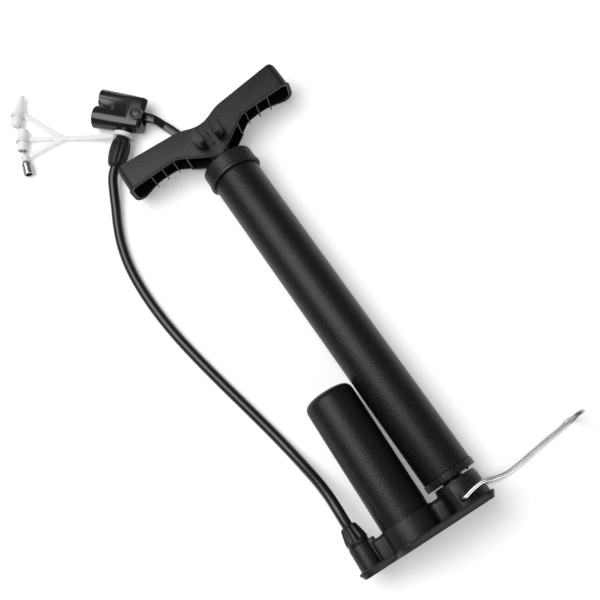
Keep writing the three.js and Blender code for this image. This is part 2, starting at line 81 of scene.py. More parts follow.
def makeCamera():
    yaw, pitch, roll = (math.radians(camera[k]) for k in ("yaw", "pitch", "roll"))
    ahead = Vector((math.sin(yaw) * math.cos(pitch), math.cos(yaw) * math.cos(pitch), math.sin(pitch)))
    right = Vector((math.cos(yaw), -math.sin(yaw), 0))
    up = right.cross(ahead)
    across = right * math.cos(roll) + up * math.sin(roll)
    upward = up * math.cos(roll) - right * math.sin(roll)
    turn = standing.to_3x3().normalized()
    spin = Matrix((turn @ across, turn @ upward, turn @ -ahead)).transposed()
    lens = bpy.data.cameras.new("camera")
    lens.lens = camera["focal"]
    lens.sensor_width = 36
    lens.clip_start = 0.01
    eye = bpy.data.objects.new("camera", lens)
    eye.matrix_world = Matrix.Translation(standing @ Vector(camera["from"])) @ spin.to_4x4()
    bpy.context.scene.collection.objects.link(eye)
    bpy.context.scene.camera = eye


makeCamera()
print("camera set")

hose = {
    "diameter": 0.0073,
    "sides": 32,
    "bends": ((0.130, -0.0774, 0.0222), (0.066, -0.0838, 0.0060)),   # points near the nut and near the head; settle only checks that they are given and leaves the hose unattached
    "route": [
        (-0.0345, -0.0733, 0.0222), (-0.0385, -0.0733, 0.0222), (-0.046, -0.0733, 0.0216),
        (-0.056, -0.0736, 0.0192), (-0.068, -0.075, 0.015), (-0.08, -0.0773, 0.0103),
        (-0.092, -0.0798, 0.0066), (-0.104, -0.0824, 0.0045), (-0.118, -0.0856, 0.00385),
        (-0.14, -0.0909, 0.0038), (-0.162, -0.0963, 0.0038), (-0.185, -0.1016, 0.0038),
        (-0.208, -0.1062, 0.0038), (-0.23, -0.1092, 0.0038), (-0.251, -0.1105, 0.0038),
        (-0.272, -0.1098, 0.0038), (-0.29, -0.1065, 0.0038), (-0.305, -0.1014, 0.0041),
        (-0.318, -0.0954, 0.0052), (-0.328, -0.0906, 0.0071), (-0.3355, -0.0867, 0.0084),
        (-0.3401, -0.0833, 0.0088), (-0.343, -0.0804, 0.0088),
    ],
}


def smoothPath(points, steps):
    points = [Vector(p) for p in points]
    points = [points[0] * 2 - points[1]] + points + [points[-1] * 2 - points[-2]]
    path = []
    for i in range(1, len(points) - 2):
        a, b, c, d = points[i - 1:i + 3]
        ta, tb, tc = ((q - p).length ** 0.5 for p, q in ((a, b), (b, c), (c, d)))
        m1 = (c - b + (b - a) / ta * tb - (c - a) / (ta + tb) * tb)
        m2 = (c - b + (d - c) / tc * tb - (d - b) / (tb + tc) * tb)
        for k in range(steps):
            t = k / steps
            path.append(b * (2 * t ** 3 - 3 * t * t + 1) + m1 * (t ** 3 - 2 * t * t + t)
                        + c * (3 * t * t - 2 * t ** 3) + m2 * (t ** 3 - t * t))
    path.append(points[-2])
    return path


def link(name, mesh):
    piece = bpy.data.objects.new(name, mesh)
    bpy.context.scene.collection.objects.link(piece)
    return piece


def meshFrom(name, points, faces):
    mesh = bpy.data.meshes.new(name)
    mesh.from_pydata([tuple(p) for p in points], [], faces)
    mesh.update()
    return link(name, mesh)


def outward(piece):
    work = bmesh.new()
    work.from_mesh(piece.data)
    bmesh.ops.remove_doubles(work, verts=work.verts, dist=1e-6)
    bmesh.ops.recalc_face_normals(work, faces=work.faces)
    work.to_mesh(piece.data)
    work.free()
    return piece


def tube(name, path, radius, sides=24):
    # radius is a number, or a function of the distance along the path from 0 to 1
    count = len(path)
    tangents = [(path[min(i + 1, count - 1)] - path[max(i - 1, 0)]).normalized() for i in range(count)]
    side = tangents[0].orthogonal().normalized()
    points = []
    for i, centre in enumerate(path):
        side = (side - tangents[i] * side.dot(tangents[i])).normalized()
        other = tangents[i].cross(side)
        r = radius(i / (count - 1)) if callable(radius) else radius
        for k in range(sides):
            angle = 2 * math.pi * k / sides
            points.append(centre + (side * math.cos(angle) + other * math.sin(angle)) * r)
    faces = []
    for i in range(count - 1):
        for k in range(sides):
            j = (k + 1) % sides
            faces.append((i * sides + k, i * sides + j, (i + 1) * sides + j, (i + 1) * sides + k))
    faces.append(tuple(range(sides))[::-1])
    faces.append(tuple((count - 1) * sides + k for k in range(sides)))
    return outward(meshFrom(name, points, faces))


def bake(piece):
    # modifiers become plain mesh
    bpy.context.view_layer.update()
    depsgraph = bpy.context.evaluated_depsgraph_get()
    mesh = bpy.data.meshes.new_from_object(piece.evaluated_get(depsgraph))
    old = piece.data
    piece.modifiers.clear()
    piece.data = mesh
    mesh.name = piece.name
    if isinstance(old, bpy.types.Mesh):
        bpy.data.meshes.remove(old)
    return piece


def combine(piece, others, operation):
    for other in others:
        step = piece.modifiers.new("join", "BOOLEAN")
        step.object = other
        step.operation = operation
        step.solver = "EXACT"
    bake(piece)
    for other in others:
        bpy.data.objects.remove(other)
    return piece


def join(piece, *others):
    return combine(piece, others, "UNION")


def cut(piece, *others):
    return combine(piece, others, "DIFFERENCE")


def bevel(piece, width, segments=3, angle=35):
    step = piece.modifiers.new("bevel", "BEVEL")
    step.width = width
    step.segments = segments
    step.limit_method = "ANGLE"
    step.angle_limit = math.radians(angle)
    step.use_clamp_overlap = True
    return bake(piece)


def moved(piece, matrix):
    piece.data.transform(matrix)
    return piece


def filleted(outline, radius, steps=4, closed=True):
    # rounds the corners of an outline; one whose radius, or entry in a dictionary, is 0 stays sharp
    rounded = []
    count = len(outline)
    for i, corner in enumerate(outline):
        r = radius.get(i, radius.get("rest", 0)) if isinstance(radius, dict) else radius
        if r == 0 or (not closed and i in (0, count - 1)):
            rounded.append(tuple(corner))
            continue
        here = Vector(corner)
        back = Vector(outline[i - 1]) - here
        ahead = Vector(outline[(i + 1) % count]) - here
        reach = min(r, back.length * 0.45, ahead.length * 0.45)
        start = here + back.normalized() * reach
        end = here + ahead.normalized() * reach
        for k in range(steps + 1):
            t = k / steps
            rounded.append(tuple(start * (1 - t) ** 2 + here * 2 * t * (1 - t) + end * t * t))
    return rounded


def lathe(name, profile, segments=96):
    # profile is a closed outline of (radius, height), or an open one from axis to axis
    points = []
    rings = []
    for radius, height in profile:
        if radius < 1e-6:
            rings.append([len(points)])
            points.append((0, 0, height))
            continue
        rings.append([len(points) + k for k in range(segments)])
        for k in range(segments):
            angle = 2 * math.pi * k / segments
            points.append((radius * math.cos(angle), radius * math.sin(angle), height))
    faces = []
    pairs = list(zip(rings, rings[1:]))
    if len(rings[0]) > 1:
        pairs.append((rings[-1], rings[0]))
    for low, high in pairs:
        for k in range(segments):
            j = (k + 1) % segments
            corners = [low[k % len(low)], low[j % len(low)], high[j % len(high)], high[k % len(high)]]
            corners = list(dict.fromkeys(corners))
            if len(corners) > 2:
                faces.append(corners)
    return outward(meshFrom(name, points, faces))


def ring(name, inner, outer, low, high, edge=0.3, segments=64):
    return lathe(name, filleted([(inner, low), (outer, low), (outer, high), (inner, high)], edge), segments)


def disc(name, radius, low, high, segments=64):
    return lathe(name, [(0, low), (radius, low), (radius, high), (0, high)], segments)


def prism(name, outline, low, high, plane="xy"):
    # outline in x and y from low to high along z, or in x and z along y
    count = len(outline)

    def lift(a, b, c):
        return (a, b, c) if plane == "xy" else (a, c, b)

    points = [lift(a, b, low) for a, b in outline] + [lift(a, b, high) for a, b in outline]
    faces = [tuple(range(count)), tuple(range(count, 2 * count))]
    faces += [(i, (i + 1) % count, (i + 1) % count + count, i + count) for i in range(count)]
    return outward(meshFrom(name, points, faces))


def block(name, x0, x1, y0, y1, z0, z1):
    return prism(name, [(x0, y0), (x1, y0), (x1, y1), (x0, y1)], z0, z1)


def bezier(start, first, second, end, steps=12):
    start, first, second, end = (Vector(p) for p in (start, first, second, end))
    curve = []
    for k in range(steps + 1):
        t = k / steps
        curve.append(tuple(start * (1 - t) ** 3 + first * 3 * t * (1 - t) ** 2
                           + second * 3 * t * t * (1 - t) + end * t ** 3))
    return curve


def arc(cx, cy, radius, start, end, steps=12):
    angles = [math.radians(start + (end - start) * k / steps) for k in range(steps + 1)]
    return [(cx + radius * math.cos(a), cy + radius * math.sin(a)) for a in angles]


def lathedAlong(piece, axis):
    # drawn along z, laid along x or y
    return moved(piece, Matrix.Rotation(math.radians(90), 4, "Y") if axis == "x"
                 else Matrix.Rotation(math.radians(-90), 4, "X"))


def aimed(piece, start, end):
    turn = (Vector(end) - Vector(start)).to_track_quat("Z", "Y").to_matrix().to_4x4()
    return moved(piece, Matrix.Translation(start) @ turn)


def nodeTree(name, sizes):
    tree = bpy.data.node_groups.new(name, "GeometryNodeTree")
    tree.interface.new_socket("Geometry", in_out="INPUT", socket_type="NodeSocketGeometry")
    names = {}
    for label, value in sizes.items():
        kind = "NodeSocketInt" if isinstance(value, int) else "NodeSocketFloat"
        socket = tree.interface.new_socket(label, in_out="INPUT", socket_type=kind)
        socket.default_value = value
        names[label] = socket.identifier
    socket = tree.interface.new_socket("Material", in_out="INPUT", socket_type="NodeSocketMaterial")
    names["Material"] = socket.identifier
    tree.interface.new_socket("Geometry", in_out="OUTPUT", socket_type="NodeSocketGeometry")
    return tree, names


class Field:
    # a socket of a node tree, so that sums of sockets and numbers add their own nodes
    def __init__(self, tree, socket):
        self.tree = tree
        self.socket = socket

    def combined(self, operation, *values):
        node = self.tree.nodes.new("ShaderNodeMath")
        node.operation = operation
        for place, value in zip(node.inputs, values):
            if isinstance(value, Field):
                self.tree.links.new(value.socket, place)
            else:
                place.default_value = value
        return Field(self.tree, node.outputs[0])

    def __add__(self, other):
        return self.combined("ADD", self, other)

    def __radd__(self, other):
        return self.combined("ADD", other, self)

    def __sub__(self, other):
        return self.combined("SUBTRACT", self, other)

    def __rsub__(self, other):
        return self.combined("SUBTRACT", other, self)

    def __mul__(self, other):
        return self.combined("MULTIPLY", self, other)

    def __rmul__(self, other):
        return self.combined("MULTIPLY", other, self)

    def __truediv__(self, other):
        return self.combined("DIVIDE", self, other)

    def __pow__(self, other):
        return self.combined("POWER", self, other)

    def __gt__(self, other):
        return self.combined("GREATER_THAN", self, other)

    def __lt__(self, other):
        return self.combined("LESS_THAN", self, other)

    def clamped(self):
        return self.combined("MINIMUM", self.combined("MAXIMUM", self, 0.0), 1.0)

    def sine(self):
        return self.combined("SINE", self)

    def size(self):
        return self.combined("ABSOLUTE", self)


class Recipe:
    # adds nodes to a material or to a geometry tree
    def __init__(self, tree):
        self.tree = tree

    def node(self, kind, settings=None, inputs=None):
        made = self.tree.nodes.new(kind)
        for name, value in (settings or {}).items():
            if name == "stops":
                self.setStops(made.color_ramp, value)
            else:
                setattr(made, name, value)
        for name, value in (inputs or {}).items():
            place = made.inputs[name]
            if isinstance(value, Field):
                self.tree.links.new(value.socket, place)
            elif value is not None:
                place.default_value = value
        return made

    def out(self, kind, settings=None, inputs=None, output=0):
        return Field(self.tree, self.node(kind, settings, inputs).outputs[output])

    def setStops(self, ramp, stops):
        while len(ramp.elements) < len(stops):
            ramp.elements.new(0.5)
        for element, (place, colour) in zip(ramp.elements, stops):
            element.position = place
            element.color = colour

    def noise(self, coordinates, scale, detail=3.0, roughness=0.55):
        return self.out("ShaderNodeTexNoise", inputs={
            "Vector": coordinates, "Scale": scale, "Detail": detail, "Roughness": roughness})

    def blend(self, amount, first, second):
        return self.out("ShaderNodeMix", {"data_type": "RGBA"}, {0: amount, 6: first, 7: second}, 2)


# Flutes or knurls round a turned piece: its outside is pressed in at even angles between two heights.
fluteSizes = {"Count": 24, "Depth": 0.4, "Low": 0.0, "High": 1.0, "Inside radius": 1.0, "Sharpness": 1.0,
              "Smooth from": 9.0, "Smooth to": 9.0}


def makeFluteTree():
    tree, names = nodeTree("flutes", fluteSizes)
    make = Recipe(tree)
    given = tree.nodes.new("NodeGroupInput")
    value = {label: Field(tree, given.outputs[label]) for label in fluteSizes}
    position = make.out("GeometryNodeInputPosition")
    parts = make.node("ShaderNodeSeparateXYZ", inputs={0: position})
    x, y, z = (Field(tree, parts.outputs[i]) for i in range(3))
    angle = x.combined("ARCTAN2", y, x)
    distance = (x * x + y * y) ** 0.5
    wave = ((angle * value["Count"]).sine() * value["Sharpness"] * 0.5 + 0.5).clamped()
    within = (z > value["Low"]) * (z < value["High"]) * (distance > value["Inside radius"])
    tab = (angle > value["Smooth from"]) * (angle < value["Smooth to"])
    shift = wave * within * (1 - tab) * value["Depth"] * -1
    spoke = make.out("ShaderNodeCombineXYZ", inputs={0: x / distance * shift, 1: y / distance * shift})
    pressed = make.node("GeometryNodeSetPosition", inputs={"Offset": spoke})
    tree.links.new(given.outputs["Geometry"], pressed.inputs["Geometry"])
    finishTree(tree, given, pressed.outputs[0])
    return tree, names


def finishTree(tree, given, geometry):
    whole = tree.nodes.new("GeometryNodeRealizeInstances")
    coat = tree.nodes.new("GeometryNodeSetMaterial")
    result = tree.nodes.new("NodeGroupOutput")
    tree.links.new(geometry, whole.inputs[0])
    tree.links.new(whole.outputs[0], coat.inputs["Geometry"])
    tree.links.new(given.outputs["Material"], coat.inputs["Material"])
    tree.links.new(coat.outputs[0], result.inputs[0])


# A straight row of equal ribs.
ribSizes = {"Count": 4, "Start": 0.0, "Step": 9.0, "Thickness": 1.0, "Depth": 19.0, "Height": 12.0,
            "Middle": 0.0}


def makeRibTree():
    tree, names = nodeTree("ribs", ribSizes)
    make = Recipe(tree)
    given = tree.nodes.new("NodeGroupInput")
    value = {label: Field(tree, given.outputs[label]) for label in ribSizes}
    first = make.out("ShaderNodeCombineXYZ", inputs={0: value["Start"], 2: value["Middle"]})
    stride = make.out("ShaderNodeCombineXYZ", inputs={0: value["Step"]})
    row = make.out("GeometryNodeMeshLine", {"mode": "OFFSET"}, {
        "Count": value["Count"], "Start Location": first, "Offset": stride})
    size = make.out("ShaderNodeCombineXYZ",
                    inputs={0: value["Thickness"], 1: value["Depth"], 2: value["Height"]})
    rib = make.out("GeometryNodeMeshCube", inputs={"Size": size})
    placed = make.node("GeometryNodeInstanceOnPoints", inputs={"Points": row, "Instance": rib})
    finishTree(tree, given, placed.outputs[0])
    return tree, names


# A round wire along the piece's own line.
wireSizes = {"Radius": 1.6, "Sides": 24}


def makeWireTree():
    tree, names = nodeTree("wire", wireSizes)
    make = Recipe(tree)
    given = tree.nodes.new("NodeGroupInput")
    value = {label: Field(tree, given.outputs[label]) for label in wireSizes}
    line = make.node("GeometryNodeMeshToCurve")
    tree.links.new(given.outputs["Geometry"], line.inputs[0])
    section = make.out("GeometryNodeCurvePrimitiveCircle", inputs={
        "Resolution": value["Sides"], "Radius": value["Radius"]})
    swept = make.node("GeometryNodeCurveToMesh", inputs={"Profile Curve": section, "Fill Caps": True})
    tree.links.new(line.outputs[0], swept.inputs["Curve"])
    finishTree(tree, given, swept.outputs[0])
    return tree, names


fluteTree = makeFluteTree()
ribTree = makeRibTree()
wireTree = makeWireTree()


def grown(piece, tree, sizes, material=None):
    # runs a geometry tree on a piece and keeps the result as its mesh
    group, names = tree
    step = piece.modifiers.new("grow", "NODES")
    step.node_group = group
    for label, value in sizes.items():
        step[names[label]] = value
    step[names["Material"]] = material
    return bake(piece)


def material(name, settings, detail=None):
    made = bpy.data.materials.new(name)
    made.use_nodes = True
    tree = made.node_tree
    shader = tree.nodes["Principled BSDF"]
    for socket, value in settings.items():
        shader.inputs[socket].default_value = value
    if detail:
        make = Recipe(tree)
        place = make.out("ShaderNodeTexCoord", output=3)
        for socket, value in detail(make, place).items():
            tree.links.new(value.socket, shader.inputs[socket])
    return made


def moulded(dark, light, gloss, matt, grain, dust):
    # moulded or coated surface: speckled grain, cloudy gloss, faint scuffs and a little dust
    def detail(make, place):
        clouds = make.noise(place, 45.0, 4.0)
        fine = make.noise(place, grain["scale"], 2.0, 0.6)
        speckle = ((fine - 0.5) * grain["contrast"] + 0.4).clamped()
        long = make.out("ShaderNodeMapping", inputs={"Vector": place, "Scale": (40.0, 900.0, 900.0)})
        scuffs = ((make.noise(long, 6.0, 2.0) - 0.66) * 9.0).clamped()
        patches = ((make.noise(place, 120.0, 3.0) - 0.5) * 5.0).clamped()
        worn = scuffs * patches
        colour = make.blend((clouds * 0.3 + speckle * 0.7).clamped(), dark, light)
        colour = make.blend((worn * dust).clamped(), colour, (0.16, 0.16, 0.155, 1))
        shine = (speckle * 0.5 + clouds * 0.5) * (matt - gloss) + gloss
        bump = make.out("ShaderNodeBump", inputs={
            "Strength": grain["strength"], "Distance": grain["depth"], "Height": fine + worn * 0.3})
        return {"Base Color": colour, "Roughness": (shine + worn * 0.12).clamped(), "Normal": bump}
    return detail


def metal(dark, light, gloss, matt, stretch):
    # drawn or turned metal: fine lines along one direction and soft stains
    def detail(make, place):
        lines = make.noise(make.out("ShaderNodeMapping", inputs={"Vector": place, "Scale": stretch}), 5.0,
                           3.0)
        stains = make.noise(place, 160.0, 4.0)
        colour = make.blend((stains * 0.8 + lines * 0.3 - 0.1).clamped(), dark, light)
        bump = make.out("ShaderNodeBump", inputs={"Strength": 0.12, "Distance": 0.00005, "Height": lines})
        return {"Base Color": colour, "Roughness": (lines * 0.6 + stains * 0.4) * (matt - gloss) + gloss,
                "Normal": bump}
    return detail


def milky(tint, shade, gloss, matt):
    # soft translucent plastic with flow clouds
    def detail(make, place):
        flow = make.noise(place, 260.0, 3.0)
        fine = make.noise(place, 2400.0, 2.0)
        bump = make.out("ShaderNodeBump",
                        inputs={"Strength": 0.15, "Distance": 0.0001, "Height": fine + flow * 0.5})
        return {"Base Color": make.blend(flow, tint, shade), "Roughness": flow * (matt - gloss) + gloss,
                "Normal": bump}
    return detail


grainFine = {"scale": 1100.0, "strength": 0.1, "depth": 0.00012, "contrast": 2.0}
grainCoat = {"scale": 800.0, "strength": 0.75, "depth": 0.0003, "contrast": 4.0}
grainCoarse = {"scale": 760.0, "strength": 0.45, "depth": 0.0003, "contrast": 3.4}
materials = {
    "black_plastic": material(
        "satinBlackPlastic", {"Specular IOR Level": 0.34},
        moulded((0.0032, 0.0032, 0.0033, 1), (0.0105, 0.0105, 0.0105, 1), 0.34, 0.5, grainCoarse, 0.16)),
    "head_plastic": material(
        "glossBlackPlastic", {"Specular IOR Level": 0.5},
        moulded((0.0034, 0.0034, 0.0036, 1), (0.006, 0.006, 0.0063, 1), 0.17, 0.28, grainFine, 0.12)),
    "black_paint": material(
        "blackPowderCoat", {"Specular IOR Level": 0.28},
        moulded((0.0018, 0.0018, 0.0018, 1), (0.007, 0.007, 0.007, 1), 0.34, 0.46, grainCoat, 0.12)),
    "hose_rubber": material(
        "blackHose", {"Specular IOR Level": 0.5},
        moulded((0.0032, 0.0032, 0.0032, 1), (0.0055, 0.0055, 0.0055, 1), 0.22, 0.34, grainFine, 0.12)),
    "seal_rubber": material(
        "sealRubber", {"Specular IOR Level": 0.3},
        moulded((0.01, 0.01, 0.01, 1), (0.02, 0.02, 0.019, 1), 0.6, 0.8, grainCoarse, 0.3)),
    "chrome_wire": material(
        "brightWire", {"Metallic": 1.0},
        metal((0.36, 0.36, 0.37, 1), (0.68, 0.68, 0.68, 1), 0.12, 0.26, (900.0, 60.0, 900.0))),
    "steel": material(
        "groundSteel", {"Metallic": 1.0},
        metal((0.3, 0.3, 0.31, 1), (0.46, 0.46, 0.46, 1), 0.2, 0.36, (60.0, 900.0, 900.0))),
    "brass": material(
        "turnedBrass", {"Metallic": 1.0},
        metal((0.42, 0.31, 0.12, 1), (0.62, 0.49, 0.22, 1), 0.25, 0.42, (700.0, 700.0, 700.0))),
    "nickel": material(
        "nickelPlate", {"Metallic": 1.0},
        metal((0.3, 0.29, 0.27, 1), (0.6, 0.59, 0.56, 1), 0.16, 0.32, (700.0, 700.0, 700.0))),
    "soft_white": material(
        "milkySoftPlastic", {"Transmission Weight": 0.3, "IOR": 1.35},
        milky((0.93, 0.93, 0.92, 1), (0.85, 0.85, 0.84, 1), 0.35, 0.5)),
    "white_plastic": material(
        "milkyHardPlastic", {"Transmission Weight": 0.12, "IOR": 1.4},
        milky((0.9, 0.9, 0.89, 1), (0.8, 0.8, 0.79, 1), 0.3, 0.45)),
}


def settle(piece, place, *nodes, angle=32, bends=None):
    # puts a finished piece in the frame, with the material of its CAD node's slot, under the empty of the
    # node's body unless bends are given, and hides the CAD nodes it stands for
    node = nodes[0]
    piece.data.transform(place)
    if place.determinant() < 0:
        piece.data.flip_normals()
    piece.data.materials.clear()
    piece.data.materials.append(materials[slotOf[node]])
    for face in piece.data.polygons:
        face.use_smooth = True
        face.material_index = 0
    piece.data.set_sharp_from_angle(angle=math.radians(angle))
    if bends:
        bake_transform(piece)
    else:
        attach(piece, bodyOf[node])
    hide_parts(*nodes)
    return piece


hosePath = [point + looseShift for point in smoothPath(hose["route"], 6)]
hosePiece = settle(tube("rubberHose", hosePath, hose["diameter"] / 2, hose["sides"]), Matrix(), "hose",
                   bends=hose["bends"])
print("hose made")


base = {
    "flangeHeight": 4.5,
    "halfDepth": 22.5,
    "neckHalf": 10.2,          # half depth of the flange round the hose boss
    "bossRadius": 7.8,
    "bossTop": 20.8,
    "socketRadius": 19.4,
    "socketTop": 18.5,
    "barrelRadius": 15.8,
    "barrelTop": 22.2,
    "edge": 0.7,
}


def flangeOutline(inset):
    half = base["halfDepth"] - inset
    narrow = base["neckHalf"] - inset
    right = 17 - inset
    side = [(-57.5, -narrow)]
    side += bezier((-57.5, -narrow), (-54, -narrow - 8), (-51, -half), (-43, -half), 14)[1:]
    side += bezier((9, -half), (14.5, -half), (right, -19), (right, -12), 12)
    tip = arc(pump["bossX"], 0, narrow, 90, 270, 28)
    return tip + side + [(x, -y) for x, y in reversed(side)]


def loft(name, layers):
    # closed outlines with equal numbers of points, each at its own height
    count = len(layers[0][0])
    points = [(x, y, z) for outline, z in layers for x, y in outline]
    faces = [tuple(range(count)), tuple(range(len(points) - count, len(points)))]
    for i in range(len(layers) - 1):
        for k in range(count):
            j = (k + 1) % count
            faces.append((i * count + k, i * count + j, (i + 1) * count + j, (i + 1) * count + k))
    return outward(meshFrom(name, points, faces))


def pillar(name, radius, top, x=0, draft=0.3, edge=0.7, segments=96):
    profile = filleted([(0, 0.5), (radius + draft, 0.5), (radius, top), (0, top)], {2: edge}, closed=False)
    return moved(lathe(name, profile, segments), Matrix.Translation((x, 0, 0)))


def makeBase():
    lip = base["flangeHeight"]
    body = loft("footBase", [
        (flangeOutline(2.6), 0.0), (flangeOutline(2.2), 0.25),
        (flangeOutline(0.35), 3.0), (flangeOutline(0), 3.6),
        (flangeOutline(0.05), 4.4), (flangeOutline(0.5), 4.9),
        (flangeOutline(1.2), 4.9), (flangeOutline(1.9), lip),
    ])
    barrelStep = filleted([
        (0, 0.5), (15.8, 0.5), (15.75, 4.6), (15.35, 18.6), (15.1, 19.4), (14.5, 22.2), (0, 22.2),
    ], {5: 0.6, "rest": 0.2}, closed=False)
    pads = bevel(block("pads", -6.3, 1.4, -18.6, 18.6, 2, 20.6), 0.6)
    bump = bevel(block("bump", -23, -11.6, -15.4, 15.4, 2, 18.1), 3.8, 8)
    shoulder = bevel(block("shoulder", -68, -62.6, -4.6, 4.6, 2, 20.7), 1.0, 4)
    lobe = bevel(block("lobe", -66, -54, -9.4, 9.4, 2, 18.2), 3.2, 7)
    flare = pillar("bossFoot", 8.6, 5.6, pump["bossX"], 0.2, 0.8)
    join(body, pillar("boss", base["bossRadius"], base["bossTop"], pump["bossX"]), flare, shoulder, lobe,
         pillar("socket", base["socketRadius"], base["socketTop"], pump["tankX"], 0.2, 0.5),
         bump, lathe("barrelSocket", barrelStep), pads)
    def hole(name, radius, low, high, x=0):
        return moved(disc(name, radius, low, high), Matrix.Translation((x, 0, 0)))

    wireHoles = moved(lathedAlong(disc("wireHoles", 2.0, -30, 30, 48), "y"),
                      Matrix.Translation((-2.6, 0, 9.5)))
    middle = block("middle", -8, 4, -13.4, 13.4, 6, 13)
    cut(wireHoles, middle)
    cut(body, wireHoles,
        hole("tankBore", 17.8, 8.1, 30, pump["tankX"]), hole("barrelBore", 8, 13.5, 30, -0.6),
        hole("valveBore", 4.2, 4.6, 14), hole("bossBore", 2.6, 5, 30, pump["bossX"]))
    return settle(body, standing, "base", angle=38)


makeBase()
print("base made")


tank = {"radius": 17.5, "wall": 1.6, "top": 114.3, "foot": 10.5}
barrel = {"radius": 17.5, "bore": 15.3, "low": 25.5, "top": 290.0, "seat": 28.9}
collar = {"radius": 18.1, "low": 23.8, "high": 28.6, "grooves": 40, "depth": 0.85}
cap = {"rim": 20.0, "skirt": 19.4, "low": 279.6, "rimTop": 282.0, "top": 292.5}


def makeTank():
    r, t, w = tank["radius"], tank["top"], tank["wall"]
    dome = bezier((r, t - 7.5), (r, t - 2.6), (r - 2.6, t - 0.9), (r - 7.5, t - 0.35), 10)
    outer = [(r, tank["foot"])] + dome + [(5, t - 0.05), (0, t)]
    inner = [(0, t - w), (r - 7.5, t - w - 0.4)] + [(r - w, t - 8), (r - w, tank["foot"])]
    piece = lathe("airTank", inner + outer, 128)
    return settle(piece, alongStanding(pump["tankX"], 0, 0), "tank_shell")


def makeBarrel():
    b = barrel
    profile = filleted([
        (b["bore"], b["low"]), (16.6, b["low"]), (16.6, b["seat"]), (b["radius"], b["seat"]),
        (b["radius"], b["top"]), (b["bore"], b["top"]),
    ], 0.25)
    return settle(lathe("barrelTube", profile, 128), leaning, "barrel_tube")


def makeCollar():
    c = collar
    outline = [
        (3.5, 14.5), (5.5, 14.5), (5.5, 17.2), (7.3, 17.2), (7.3, c["low"]), (c["radius"], c["low"]),
        (c["radius"], c["high"]), (16.9, c["high"]), (16.9, 25.2), (3.5, 25.2),
    ]
    profile = filleted(outline, 0.28)
    body = lathe("knurledCollar", profile, 960)
    grown(body, fluteTree, {
        "Count": c["grooves"], "Depth": c["depth"], "Low": c["low"] - 1, "High": c["high"] + 1,
        "Inside radius": 17.4, "Sharpness": 2.4,
        "Smooth from": math.radians(-75), "Smooth to": math.radians(5)})
    lug = bevel(block("lug", 11.2, 12.8, -2, 2, c["low"] - 1.1, c["low"] + 0.4), 0.25, 2)
    join(body, lug)
    return settle(body, leaning, "barrel_collar", angle=40)


def makeCap():
    c = cap
    inner = barrel["radius"] + 0.3
    profile = filleted([
        (inner, c["low"]), (c["rim"], c["low"]), (c["rim"], c["rimTop"]), (c["skirt"], c["rimTop"] + 0.35),
        (c["skirt"] - 0.1, c["top"]), (5.4, c["top"]), (5.4, barrel["top"] + 0.3),
        (inner, barrel["top"] + 0.3),
    ], {1: 0.5, 2: 0.5, 3: 0.3, 4: 1.5, 5: 0.3, "rest": 0.15}, 5)
    return settle(lathe("barrelCap", profile, 128), leaning, "barrel_cap")


makeTank()
makeBarrel()
makeCollar()
makeCap()
print("tank, barrel, collar and cap made")


handle = {
    "half": 68.2, "depth": 23.4, "wall": 2.0, "edge": 1.1,
    "ribs": [31.2, 40.6, 50.0], "ribThickness": 0.8, "corner": 6.0, "innerCorner": 4.2,
    "backCut": [(23, 300), (23, 310.4), (30, 315.0), (36, 315.9), (48, 315.9), (62, 312.7), (62, 300)],
    "prongRadius": 5.9, "prongFlat": 4.4, "prongHeight": 310.4, "prongReach": 14.0,
}


def topLine(endX, drop):
    # from the right end over the valley to the left end
    valley, shoulder, end = 323.8 - drop, 329 - drop, 332.6 - drop
    right = [(endX, end), (20, shoulder)]
    middle = bezier((20, shoulder), (12, shoulder - 0.6), (8, valley), (0, valley), 14)
    left = bezier((0, valley), (-8, valley), (-12, shoulder - 0.6), (-20, shoulder), 14)
    return right + middle[1:] + left[1:] + [(-endX, end)]


def lowerLine():
    # right half of the lower edge, from the tip of the V to the end
    return ([(0, 294.75), (0.8, 294.9), (1.8, 295.5), (20, 307.1)]
            + bezier((20, 307.1), (25, 310.3), (27, 312.5), (32, 312.5), 10)[1:])


def roundedBox(halfLength, halfDepth, corner):
    x, y = halfLength - corner, halfDepth - corner
    return (arc(x, y, corner, 0, 90) + arc(-x, y, corner, 90, 180)
            + arc(-x, -y, corner, 180, 270) + arc(x, -y, corner, 270, 360))


def rimPath(lower, front, end):
    # closed line along the channel's opening: front edge, one end, back edge, other end
    inset, corner, level = -0.1, 5.9, 312.8
    x = end - inset - corner
    y = -front - inset - corner
    side = [(a, front + inset, b + 0.25) for a, b in lower] + [(40, front + inset, level)]
    bend = [(a, b, level) for a, b in arc(x, -y, corner, -90, 0, 8) + arc(x, y, corner, 0, 90, 8)]
    back = [(48, -front - 0.9, 315.9), (36, -front - 0.9, 315.9), (30, -front - 0.9, 315.0),
            (24, -front - 0.9, 311.4)]
    half = side + bend + back
    return half, [(-a, b, c) for a, b, c in reversed(half)]


